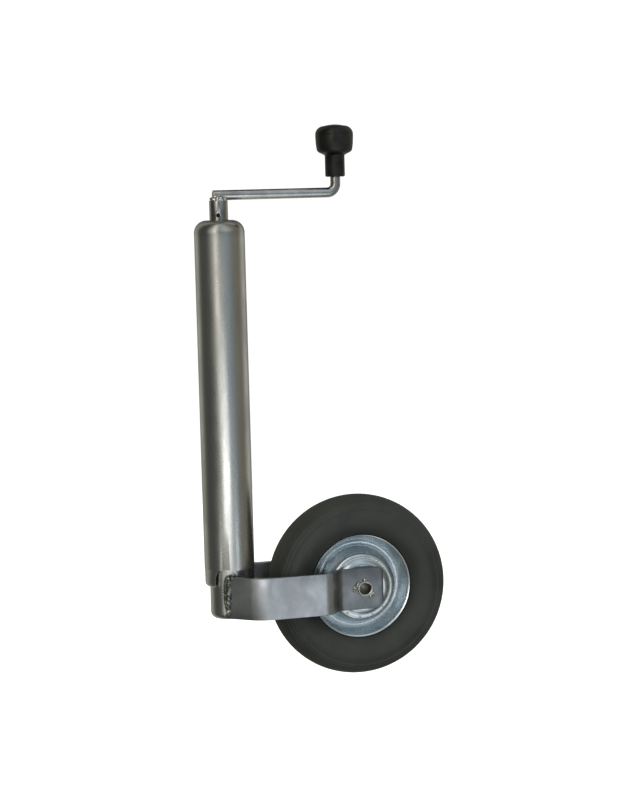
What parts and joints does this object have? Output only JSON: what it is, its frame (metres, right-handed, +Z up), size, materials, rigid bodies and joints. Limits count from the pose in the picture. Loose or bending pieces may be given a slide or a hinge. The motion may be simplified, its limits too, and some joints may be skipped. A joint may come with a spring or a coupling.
{
  "type": "trailer tongue jack",
  "caption": "Clamp-on trailer tongue jack: telescoping tubes on a screw, a top crank with a knob, and a wheel in a flat-bar fork.",
  "frame": {"origin": "on the outer tube's axis, at the middle of the plain wall that a clamp grips", "axes": "+Z up the tube towards the crank, +X towards the wheel, Y along the wheel's axle"},
  "size_m": [0.298, 0.114, 0.6665],
  "materials": {
    "zinc_tube": "zinc plated, semi gloss, faint vertical draw marks",
    "zinc_bar": "zinc plated flat bar, mottled, bright sheared edges",
    "zinc_rod": "bright zinc plated rod",
    "weld": "zinc plated weld bead, rough",
    "rim_zinc": "blue passivated pressed sheet, glossy",
    "steel": "turned steel, lightly oiled",
    "bearing_steel": "ground and polished",
    "brass_cage": "stamped brass",
    "nylon": "natural nylon",
    "knob_black": "moulded, soft sheen",
    "tyre_rubber": "solid rubber, matt, light mould marks"
  },
  "bodies": {
    "housing": {"outer_tube": "zinc_tube", "bearing_plate": "steel", "upper_race": "bearing_steel", "ball_cage": "brass_cage", "thrust_balls": "bearing_steel", "lower_guide_ring": "nylon"},
    "crank": {"spindle": "steel", "lower_race": "bearing_steel", "crank_sleeve": "zinc_rod", "roll_pin": "steel", "crank_arm": "zinc_rod", "crank_weld": "weld", "knob_clip": "steel", "stop_washer": "steel", "stop_pin": "steel"},
    "handle": {"knob": "knob_black"},
    "leg": {"inner_tube": "zinc_tube", "end_plug": "zinc_tube", "spindle_nut": "steel", "nut_pins": "steel", "upper_guide_ring": "nylon", "fork_arm_left": "zinc_bar", "fork_arm_right": "zinc_bar", "fork_weld_left": "weld", "fork_weld_right": "weld", "axle_tube": "zinc_rod", "axle_welds": "weld", "axle_washers": "zinc_rod"},
    "wheel": {"tyre": "tyre_rubber", "rim_disc_left": "rim_zinc", "rim_disc_right": "rim_zinc", "hub_tube": "steel", "hub_bush_left": "nylon", "hub_bush_right": "nylon", "hub_welds": "weld"}
  },
  "joints": [
    {"name": "crank_spin", "type": "hinge", "parent": "housing", "child": "crank", "pos_m": [0, 0, 0.2], "axis": [0, 0, 1], "range_deg": [0, 19800]},
    {"name": "leg_slide", "type": "slide", "parent": "housing", "child": "leg", "axis": [0, 0, -1], "range_m": [0, 0.22]},
    {"name": "knob_spin", "type": "hinge", "parent": "crank", "child": "handle", "pos_m": [0.144, 0, 0.28], "axis": [0, 0, 1], "continuous": true},
    {"name": "wheel_spin", "type": "hinge", "parent": "leg", "child": "wheel", "pos_m": [0.158, 0, -0.232], "axis": [0, 1, 0], "continuous": true}
  ],
  "couplings": [
    {"joint": "leg_slide", "follows": "crank_spin", "m_per_rad": 0.00063662}
  ]
}
